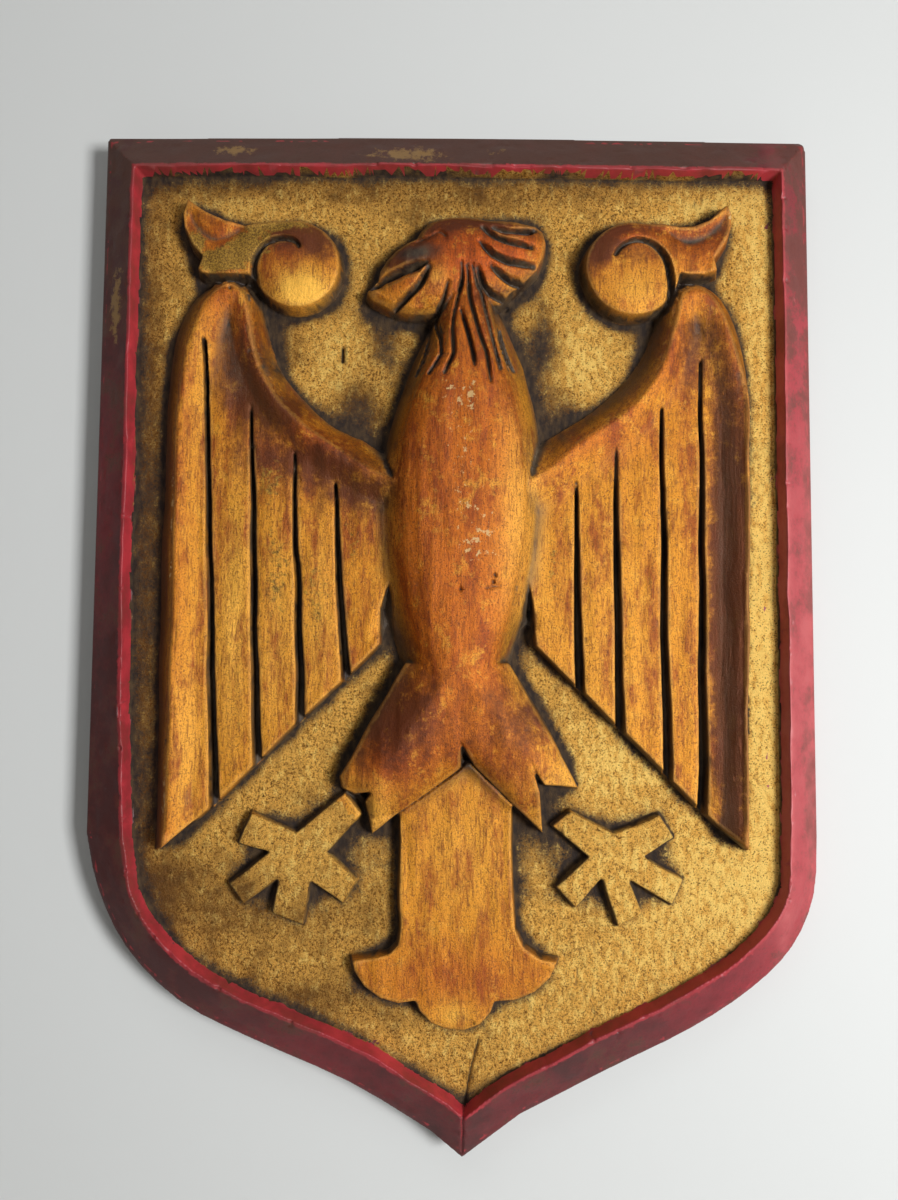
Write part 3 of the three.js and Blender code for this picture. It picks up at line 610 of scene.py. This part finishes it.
write("bronzed", spots([
    (-98, 145, 12, 5, 1), (-86, 152, 9, 6, 0.9), (-74, 160, 12, 3, 0.8), (-108, 153, 4, 6, 0.8),
    (-74, 20, 8, 26, 0.4), (-58, 10, 6, 24, 0.4), (-78, 58, 8, 10, 0.4), (-44, 30, 5, 18, 0.35),
    (-88, -30, 4, 20, 0.3), (34, 24, 4, 20, 0.35),
]))
write("chipped", spots([
    (-114, 40, 1.6, 50, 0.9), (-114.5, -64, 2, 18, 1), (111, 20, 2, 90, 1), (-111, 150, 3, 6, 0.9),
    (104, 165, 3, 6, 1), (-1, 62, 15, 26, 0.66), (6, 32, 14, 14, 0.66), (-2, 90, 13, 12, 0.62),
    (-2, 140, 7, 5, 0.5),
]))
print("eagle masks: ruddy, stained, gilt, bronzed and chipped")

# %% [markdown]
# ## Masks on the rim
# The red is clean crimson down the right side and darker to the left, partly glaze and partly painted light
# from the window on the right. It is brown along the top. The dusty pink on the right is painted sheen, and
# on the inner wall there, which lies in shade, it is painted light. Bronze from the field was smeared over the
# top and the left.

# %% Masks on the rim
# crimson: partly glaze taken off, partly painted light towards the window on the right
write("crimson", spots([
    (137, 60, 30, 130, 1), (137, -60, 34, 60, 1), (100, -140, 40, 26, 0.4), (30, -188, 40, 18, 0.2),
    (-60, -166, 70, 18, 0.3), (-146, 60, 12, 60, 0.25),
]))
write("browned", spots([
    (-60, 196, 90, 12, 1), (60, 196, 70, 12, 0.8), (-143, 150, 12, 50, 0.35), (130, 150, 12, 50, 0.4),
    (137, 60, 3, 46, 0.6), (136, -70, 4, 34, 0.6),
]))
# painted sheen in pink on the right, and painted light on the inner wall there, which lies in shade
write("painted_sheen", spots([(137, -10, 16, 120, 0.8), (123.5, 20, 3, 130, 1), (120, -110, 16, 20, 0.2)]))
write("smeared", spots([
    (-95, 194, 12, 5, 1), (-24, 192, 24, 7, 1), (14, 194, 12, 5, 0.6), (-141, 130, 5, 26, 1),
    (-141, 72, 4, 16, 0.5), (-60, -160, 14, 6, 0.4), (122.5, 20, 2.5, 130, 0.45), (-131.5, 60, 2, 130, 0.7),
    (112, 182, 10, 3, 0.6),
]))
print("rim masks: crimson, browned, faded and smeared")

# %% [markdown]
# ## Where each finish goes
# Every face gets one of four finishes by where it lies: the rim, the sunk field, the eagle, or the unpainted
# back. Paint was brushed down to the foot of each wall by hand, so its lower edge is ragged, and on the wall
# under the top of the rim it stops higher up. The claws are low and were powdered along with the field. The
# back is shaded flat, as a planed board is.

# %% Sort the faces
EAGLE, GROUND, RIM, BACK = range(4)
BEVEL_DEPTH, TOP_WALL_DEPTH = 0.86, 0.963  # edge_depth where the bevel ends, and where the wall inside it begins
TOP_WALL_FROM = 170
CLAWS = [(-65, -88, 27), (60, -90, 28)]  # x, z and radius
CLAW_TOP = FIELD + 5.2
BACK_UP_TO = 0.35

corners = np.empty(len(carving.data.polygons) * 3, np.int32)
carving.data.polygons.foreach_get("vertices", corners)
middle = points[corners.reshape(-1, 3)].mean(1)
mid_x, face_height, mid_z = middle[:, 0], -middle[:, 1], middle[:, 2]
face_depth = read(edge_depth, mid_x, mid_z)
edge_zone = face_depth < RIM_DEPTH
claws = np.any([np.hypot(mid_x - at_x, mid_z - at_z) < reach for at_x, at_z, reach in CLAWS], axis=0)
claws &= face_height < CLAW_TOP
ragged = lattice(mid_x, mid_z, 3.3, 3.3, 12) + 0.6 * lattice(mid_x, mid_z, 1.3, 1.3, 13)
paint_foot = FIELD + 0.8 + np.where(edge_zone, 0.6 * ragged, 0)
top_wall = edge_zone & (face_depth > TOP_WALL_DEPTH) & (mid_z > TOP_WALL_FROM)
paint_foot += np.where(top_wall, 2.6 + 0.8 * ragged, 0)
finish = np.where((face_height > paint_foot) & ~claws, np.where(edge_zone, RIM, EAGLE), GROUND)
finish = np.where(face_depth < BEVEL_DEPTH, RIM, finish)
finish = np.where(face_height < BACK_UP_TO, BACK, finish)
carving.data.polygons.foreach_set("material_index", finish.astype(np.int32))
carving.data.polygons.foreach_set("use_smooth", finish != BACK)
print("faces of eagle, field, rim and back:", [int((finish == k).sum()) for k in range(4)])

# %% [markdown]
# ## Bronze powder on the sunk field
# The ground was brushed with a dark priming and stippled with bronze powder in oil. Powder paint is made of
# tiny metal flakes, so it brightens towards the light as metal does, but its reflection is broad. The flakes
# miss the pits of the stipple, which leaves a speckle of about a millimetre. Where the coat is thin the
# brown priming shows through, and where it tarnished the whole coat has turned brown. Those darker and
# brighter places follow the field's masks, so on the left they are partly painted shade and on the right
# partly painted light.

# %% Material: bronze powder paint
ground, tree, surface, millimetres = new_material("bronze_powder_paint")
tarnish_and_painted_shade, polish_and_painted_light, wax_and_painted_shade_share, walls, groove = [
    add(tree, "Attribute", {}, "Fac", attribute_name=name)
    for name in ("tarnish_and_painted_shade", "polish_and_painted_light", "wax", "walls", "groove")
]
speck = add(tree, "TexNoise", {"Vector": millimetres, "Scale": 0.95, "Detail": 6, "Roughness": 0.85})
fine = add(tree, "TexNoise", {"Vector": millimetres, "Scale": 1.7, "Detail": 3})
tall = add(tree, "Mapping", {"Vector": millimetres, "Scale": (0.4, 0.4, 0.2)})
brushed = add(tree, "TexNoise", {"Vector": tall, "Scale": 1, "Detail": 4})
cloud = add(tree, "TexNoise", {"Vector": millimetres, "Scale": 0.07, "Detail": 8, "Roughness": 0.72})
# the masks for darker and brighter powder carry painted shade and painted light as well as real wear
missed = add(tree, "Math", {0: polish_and_painted_light, 1: 0.05, 2: speck}, operation="MULTIPLY_ADD")
missed = add(tree, "Math", {0: tarnish_and_painted_shade, 1: -0.05, 2: missed}, operation="MULTIPLY_ADD")
missed = add(tree, "MapRange", {"Value": missed, "From Min": 0.43, "From Max": 0.51})
gold = add(tree, "Mix", {SHARE: missed, UNDER: srgb("754912"), OVER: srgb("E2AC50")}, MIXED, data_type="RGBA")
streak = add(tree, "Math", {0: polish_and_painted_light, 1: 0.25, 2: brushed}, operation="MULTIPLY_ADD")
streak = add(tree, "Math", {0: fine, 1: 0.7, 2: streak}, operation="MULTIPLY_ADD")
streak = add(tree, "MapRange", {"Value": streak, "From Min": 0.9, "From Max": 1.12, "To Max": 0.9})
gold = add(tree, "Mix", {SHARE: streak, UNDER: gold, OVER: srgb("F7D274")}, MIXED, data_type="RGBA")
thin_coat = add(tree, "Math", {0: tarnish_and_painted_shade, 1: 0.2, 2: cloud}, operation="MULTIPLY_ADD")
thin_coat = add(tree, "Math", {0: polish_and_painted_light, 1: -0.15, 2: thin_coat}, operation="MULTIPLY_ADD")
thin_coat = add(tree, "Math", {0: speck, 1: 0.9, 2: thin_coat}, operation="MULTIPLY_ADD")
thin_coat = add(tree, "MapRange", {"Value": thin_coat, "From Min": 1.0, "From Max": 1.2, "To Max": 0.9})
gold = add(tree, "Mix", {SHARE: thin_coat, UNDER: gold, OVER: srgb("5E3C16")}, MIXED, data_type="RGBA")
pitted = add(tree, "MapRange", {"Value": fine, "From Min": 0.40, "From Max": 0.33, "To Max": 0.85})
gold = add(tree, "Mix", {SHARE: pitted, UNDER: gold, OVER: srgb("4A3212")}, MIXED, data_type="RGBA")
# brown of tarnishing, and painted shade where this mask covers the left side
tarnish_and_shade_share = add(tree, "MapRange", {"Value": tarnish_and_painted_shade, "To Min": 0.04, "To Max": 0.75})
gold = add(tree, "Mix", {SHARE: tarnish_and_shade_share, UNDER: gold, OVER: srgb("5F3F1C")}, MIXED, data_type="RGBA")
print("bronze powder paint: speckle of about 1 mm")

# %% [markdown]
# ## Dark wax over the bronze
# Wax was rubbed over the whole plaque and taken off again. It stayed in the corners, on the walls and in the
# grooves, and caught dust there. At the foot of walls that face left, the same dark colour is painted shade.
# Wax is not a metal and is duller than the powder, so where it lies the metallic part goes to nothing and the
# roughness rises.

# %% Material: wax and painted shade on the field
patchy = add(tree, "Math", {0: speck, 1: 1.5, 2: wax_and_painted_shade_share}, operation="MULTIPLY_ADD")
patchy = add(tree, "Math", {0: cloud, 1: 0.8, 2: patchy}, operation="MULTIPLY_ADD")
patchy = add(tree, "Math", {0: tarnish_and_painted_shade, 1: 0.2, 2: patchy}, operation="MULTIPLY_ADD")
wax_and_painted_shade_share = add(tree, "MapRange", {"Value": patchy, "From Min": 1.5, "From Max": 1.8})
# the walls mask adds painted shade on walls that face left
wax_and_painted_shade_share = add(tree, "Math", {0: wax_and_painted_shade_share, 1: walls}, operation="MAXIMUM")
wax_and_painted_shade_share = add(tree, "Math", {0: wax_and_painted_shade_share, 1: groove}, operation="MAXIMUM")
dust = add(tree, "MapRange", {"Value": brushed, "From Min": 0.4, "From Max": 0.65})
wax_and_shade_tones = {SHARE: dust, UNDER: srgb("22140A"), OVER: srgb("49351C")}
wax_and_shade_colour = add(tree, "Mix", wax_and_shade_tones, MIXED, data_type="RGBA")
colour = add(tree, "Mix", {SHARE: wax_and_painted_shade_share, UNDER: gold, OVER: wax_and_shade_colour}, MIXED, data_type="RGBA")
tree.links.new(colour, surface.inputs["Base Color"])
metal = add(tree, "MapRange", {"Value": wax_and_painted_shade_share, "To Min": 0.75, "To Max": 0.0})
tree.links.new(metal, surface.inputs["Metallic"])
dull = add(tree, "MapRange", {"Value": wax_and_painted_shade_share, "To Min": 0.48, "To Max": 0.8})
tree.links.new(dull, surface.inputs["Roughness"])
grain = add(tree, "Math", {0: speck, 1: 1.2, 2: brushed}, operation="MULTIPLY_ADD")
relief_bump = add(tree, "Bump", {"Strength": 0.9, "Distance": 0.0005, "Height": grain})
tree.links.new(relief_bump, surface.inputs["Normal"])
print("wax on the field: black in the corners, brown where dust stuck to it")

# %% [markdown]
# ## Amber varnish over gold on the eagle
# The figure was gilded and then toned with shellac, which is brown where it lies thick, in hollows and on
# the breast, and rubbed back to yellow on the high places. The wood's grain runs up the board and shows
# through as fine upright streaks. Soft brown patches, partly stains and partly painted shade, dark pores and
# a few patches of stray bronze powder lie on top.

# %% Material: amber varnish over gold
varnish, tree, surface, millimetres = new_material("amber_shellac_over_gold", Roughness=0.5)
stains_and_painted_shade, ruddy, gilt, bronzed, hollow, walls, groove, ridge, chipped = [
    add(tree, "Attribute", {}, "Fac", attribute_name=name)
    for name in ("stains_and_painted_shade", "ruddy", "gilt", "bronzed", "hollow", "walls", "groove", "ridge", "chipped")
]
tall = add(tree, "Mapping", {"Vector": millimetres, "Scale": (1.3, 1.3, 0.16)})
grain = add(tree, "TexNoise", {"Vector": tall, "Scale": 1, "Detail": 5, "Roughness": 0.7})
wide = add(tree, "Mapping", {"Vector": millimetres, "Scale": (0.13, 0.13, 0.04)})
pooled = add(tree, "TexNoise", {"Vector": wide, "Scale": 1, "Detail": 9, "Roughness": 0.75})
speck = add(tree, "TexNoise", {"Vector": millimetres, "Scale": 1.5, "Detail": 4, "Roughness": 0.75})
flake = add(tree, "TexNoise", {"Vector": millimetres, "Scale": 0.4, "Detail": 5, "Roughness": 0.65})
blotch = add(tree, "TexNoise", {"Vector": millimetres, "Scale": 0.13, "Detail": 9, "Roughness": 0.78})
amber = add(tree, "Mix", {SHARE: ruddy, UNDER: srgb("D0881C"), OVER: srgb("BE560C")}, MIXED, data_type="RGBA")
amber = add(tree, "Mix", {SHARE: gilt, UNDER: amber, OVER: srgb("F2B648")}, MIXED, data_type="RGBA")
toned = add(tree, "Math", {0: gilt, 1: -0.12, 2: pooled}, operation="MULTIPLY_ADD")
toned = add(tree, "MapRange", {"Value": toned, "From Min": 0.47, "From Max": 0.6, "To Max": 0.8})
amber = add(tree, "Mix", {SHARE: toned, UNDER: amber, OVER: srgb("8E3A0C")}, MIXED, data_type="RGBA")
bright = add(tree, "MapRange", {"Value": blotch, "From Min": 0.46, "From Max": 0.36, "To Max": 0.7})
amber = add(tree, "Mix", {SHARE: bright, UNDER: amber, OVER: srgb("E2A236")}, MIXED, data_type="RGBA")
# brown patches, partly stains and partly painted shade
stain_and_shade_share = add(tree, "Math", {0: stains_and_painted_shade, 1: 0.5, 2: blotch}, operation="MULTIPLY_ADD")
stain_and_shade_share = add(tree, "MapRange", {"Value": stain_and_shade_share, "From Min": 0.58, "From Max": 0.84, "To Max": 0.9})
amber = add(tree, "Mix", {SHARE: stain_and_shade_share, UNDER: amber, OVER: srgb("55260D")}, MIXED, data_type="RGBA")
streak = add(tree, "MapRange", {"Value": grain, "From Min": 0.5, "From Max": 0.66, "To Max": 0.7})
amber = add(tree, "Mix", {SHARE: streak, UNDER: amber, OVER: srgb("6E340F")}, MIXED, data_type="RGBA")
pores = add(tree, "MapRange", {"Value": speck, "From Min": 0.48, "From Max": 0.37, "To Max": 0.8})
amber = add(tree, "Mix", {SHARE: pores, UNDER: amber, OVER: srgb("5A2C12")}, MIXED, data_type="RGBA")
leafed = add(tree, "MapRange", {"Value": gilt, "From Min": 0.7, "From Max": 1.0, "To Max": 0.55})
amber = add(tree, "Mix", {SHARE: leafed, UNDER: amber, OVER: srgb("FFC24C")}, MIXED, data_type="RGBA")
scuffed = add(tree, "MapRange", {"Value": speck, "From Min": 0.4, "From Max": 0.6})
olive_tones = {SHARE: scuffed, UNDER: srgb("5C3D12"), OVER: srgb("B18A34")}
olive = add(tree, "Mix", olive_tones, MIXED, data_type="RGBA")
dusty = add(tree, "Math", {0: flake, 1: 1.4, 2: bronzed}, operation="MULTIPLY_ADD")
dusty = add(tree, "MapRange", {"Value": dusty, "From Min": 1.05, "From Max": 1.25, "To Max": 0.95})
amber = add(tree, "Mix", {SHARE: dusty, UNDER: amber, OVER: olive}, MIXED, data_type="RGBA")
print("amber shellac: streaks of about 1 mm by 11 mm")

# %% [markdown]
# ## Rubbed ridges and chips
# Ridges were rubbed by hands until the gold under the shellac came through, pale and thin. Where an edge was
# knocked hard, both came off, and the gesso under the gold shows as a sandy chip.

# %% Material: wear on the eagle
rubbed = add(tree, "Math", {0: speck, 1: 0.9, 2: ridge}, operation="MULTIPLY_ADD")
rubbed = add(tree, "MapRange", {"Value": rubbed, "From Min": 1.1, "From Max": 1.45, "To Max": 0.3})
amber = add(tree, "Mix", {SHARE: rubbed, UNDER: amber, OVER: srgb("DDA550")}, MIXED, data_type="RGBA")
loss = add(tree, "Math", {0: chipped, 1: 0.36, 2: flake}, operation="MULTIPLY_ADD")
loss = add(tree, "MapRange", {"Value": loss, "From Min": 0.835, "From Max": 0.87, "To Max": 0.8})
print("wear: rubbed ridges and chips down to the gesso")

# %% [markdown]
# ## Wax in the cuts, and the sheen
# The same dark wax as on the field lies in the hollows, on the walls and in the gouge cuts of the eagle. On
# walls that face left and in four listed patches, the beak most of all, that dark colour is painted shade.
# Gold under shellac looks about half as metallic as bare gold, while wax and gesso are not metallic at all.
# Two bumps, one of grain and one of specks, break up the shine.

# %% Material: wax, painted shade and sheen on the eagle
# dark wax in hollows, on walls and in cuts, with painted shade on walls that face left and in listed patches
deep = add(tree, "Math", {0: speck, 1: 0.6, 2: hollow}, operation="MULTIPLY_ADD")
deep = add(tree, "MapRange", {"Value": deep, "From Min": 0.42, "From Max": 0.9})
deep = add(tree, "Math", {0: deep, 1: walls}, operation="MAXIMUM")
deep = add(tree, "Math", {0: deep, 1: groove}, operation="MAXIMUM")
dust = add(tree, "MapRange", {"Value": pooled, "From Min": 0.42, "From Max": 0.62})
wax_and_shade_tones = {SHARE: dust, UNDER: srgb("24140B"), OVER: srgb("574733")}
wax_and_shade_colour = add(tree, "Mix", wax_and_shade_tones, MIXED, data_type="RGBA")
colour = add(tree, "Mix", {SHARE: deep, UNDER: amber, OVER: wax_and_shade_colour}, MIXED, data_type="RGBA")
colour = add(tree, "Mix", {SHARE: loss, UNDER: colour, OVER: srgb("CDAA70")}, MIXED, data_type="RGBA")
tree.links.new(colour, surface.inputs["Base Color"])
covered = add(tree, "Math", {0: deep, 1: loss}, operation="MAXIMUM")
metal = add(tree, "MapRange", {"Value": covered, "To Min": 0.5, "To Max": 0.0})
tree.links.new(metal, surface.inputs["Metallic"])
relief_bump = add(tree, "Bump", {"Strength": 0.6, "Distance": 0.0003, "Height": grain})
relief_bump = add(tree, "Bump", {"Strength": 0.6, "Distance": 0.0005, "Height": speck, "Normal": relief_bump})
tree.links.new(relief_bump, surface.inputs["Normal"])
print("wax in the cuts, with grey dust on it")

# %% [markdown]
# ## Oxblood paint on the rim
# The rim was painted a deep red and then glazed brown. The red is clean down the right side, partly where
# the glaze was taken off and partly as painted light towards the window, and on the crest, which hands
# polish. The dusty pink on the right is painted sheen. Dark dots are dirt caught in the brush marks. A little
# of the field's bronze was smeared over the top and the left.

# %% Material: oxblood oil paint
oxblood, tree, surface, millimetres = new_material("oxblood_oil_paint", Roughness=0.5)
crimson, inner_wall, ridge, smeared, browned, painted_sheen = [
    add(tree, "Attribute", {}, "Fac", attribute_name=name)
    for name in ("crimson", "inner_wall", "ridge", "smeared", "browned", "painted_sheen")
]
cloud = add(tree, "TexNoise", {"Vector": millimetres, "Scale": 0.07, "Detail": 5, "Roughness": 0.65})
speck = add(tree, "TexNoise", {"Vector": millimetres, "Scale": 0.9, "Detail": 4, "Roughness": 0.7})
# clean red where the glaze came off, and painted light down the right side
wiped_and_painted_light = add(tree, "Math", {0: cloud, 1: 0.9, 2: crimson}, operation="MULTIPLY_ADD")
wiped_and_painted_light = add(tree, "MapRange", {"Value": wiped_and_painted_light, "From Min": 0.45, "From Max": 1.2})
red = add(tree, "Mix", {SHARE: wiped_and_painted_light, UNDER: srgb("451A19"), OVER: srgb("96222F")}, MIXED, data_type="RGBA")
dirty = add(tree, "Math", {0: browned, 1: 0.35, 2: cloud}, operation="MULTIPLY_ADD")
dirty = add(tree, "Math", {0: speck, 1: 0.3, 2: dirty}, operation="MULTIPLY_ADD")
dirty = add(tree, "MapRange", {"Value": dirty, "From Min": 0.67, "From Max": 0.8, "To Max": 0.8})
red = add(tree, "Mix", {SHARE: dirty, UNDER: red, OVER: srgb("4C2F22")}, MIXED, data_type="RGBA")
dotted = add(tree, "MapRange", {"Value": speck, "From Min": 0.52, "From Max": 0.72, "To Max": 0.4})
red = add(tree, "Mix", {SHARE: dotted, UNDER: red, OVER: srgb("2E1512")}, MIXED, data_type="RGBA")
crest = add(tree, "Math", {0: speck, 1: 0.7, 2: ridge}, operation="MULTIPLY_ADD")
crest = add(tree, "MapRange", {"Value": crest, "From Min": 0.85, "From Max": 1.15, "To Max": 0.8})
crest = add(tree, "Math", {0: crest, 1: inner_wall}, operation="MAXIMUM")
patches = {"Value": cloud, "From Min": 0.62, "From Max": 0.4, "To Min": 0.45, "To Max": 1.0}
patchy = add(tree, "MapRange", patches)
crest = add(tree, "Math", {0: crest, 1: patchy}, operation="MULTIPLY")
red = add(tree, "Mix", {SHARE: crest, UNDER: red, OVER: srgb("AE3038")}, MIXED, data_type="RGBA")
# painted sheen: dusty pink on the right
painted_sheen = add(tree, "Math", {0: painted_sheen, 1: patchy}, operation="MULTIPLY")
red = add(tree, "Mix", {SHARE: painted_sheen, UNDER: red, OVER: srgb("B8595A")}, MIXED, data_type="RGBA")
ragged = add(tree, "TexNoise", {"Vector": millimetres, "Scale": 0.28, "Detail": 6, "Roughness": 0.75})
smear = add(tree, "Math", {0: ragged, 1: 1.8, 2: smeared}, operation="MULTIPLY_ADD")
smear = add(tree, "MapRange", {"Value": smear, "From Min": 1.62, "From Max": 1.82, "To Max": 0.75})
colour = add(tree, "Mix", {SHARE: smear, UNDER: red, OVER: srgb("8F6E3C")}, MIXED, data_type="RGBA")
tree.links.new(colour, surface.inputs["Base Color"])
relief_bump = add(tree, "Bump", {"Strength": 0.3, "Distance": 0.00025, "Height": speck})
tree.links.new(relief_bump, surface.inputs["Normal"])
print("oxblood paint with a brown glaze")

# %% [markdown]
# ## The bare back
# A back like this is only planed. The board is a plain pale hardwood that has browned with age. Its grain
# runs the same way as on the front, so the growth rings are drawn as long upright bands, and the fibres as
# fine upright lines. Both are drawn coarser than in real wood, so that they show.

# %% Material: planed wood
bare, tree, surface, millimetres = new_material("planed_hardwood", Roughness=0.65)
tall = add(tree, "Mapping", {"Vector": millimetres, "Scale": (0.12, 0.12, 0.006)})
rings = add(tree, "TexNoise", {"Vector": tall, "Scale": 1, "Detail": 6, "Roughness": 0.6, "Distortion": 0.4})
fine = add(tree, "Mapping", {"Vector": millimetres, "Scale": (2.2, 2.2, 0.05)})
fibre = add(tree, "TexNoise", {"Vector": fine, "Scale": 1, "Detail": 3})
banded = add(tree, "MapRange", {"Value": rings, "From Min": 0.35, "From Max": 0.65})
wood = add(tree, "Mix", {SHARE: banded, UNDER: srgb("A98258"), OVER: srgb("7D5836")}, MIXED, data_type="RGBA")
pores = add(tree, "MapRange", {"Value": fibre, "From Min": 0.52, "From Max": 0.7, "To Max": 0.6})
wood = add(tree, "Mix", {SHARE: pores, UNDER: wood, OVER: srgb("5C3E25")}, MIXED, data_type="RGBA")
tree.links.new(wood, surface.inputs["Base Color"])
relief_bump = add(tree, "Bump", {"Strength": 0.4, "Distance": 0.0002, "Height": fibre})
tree.links.new(relief_bump, surface.inputs["Normal"])
for material in (varnish, ground, oxblood, bare):  # in the order of EAGLE, GROUND, RIM, BACK
    carving.data.materials.append(material)
print("planed hardwood back")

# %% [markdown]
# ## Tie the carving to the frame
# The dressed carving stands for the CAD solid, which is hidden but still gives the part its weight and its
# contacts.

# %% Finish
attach(carving, "root")
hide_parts("carved_shield")
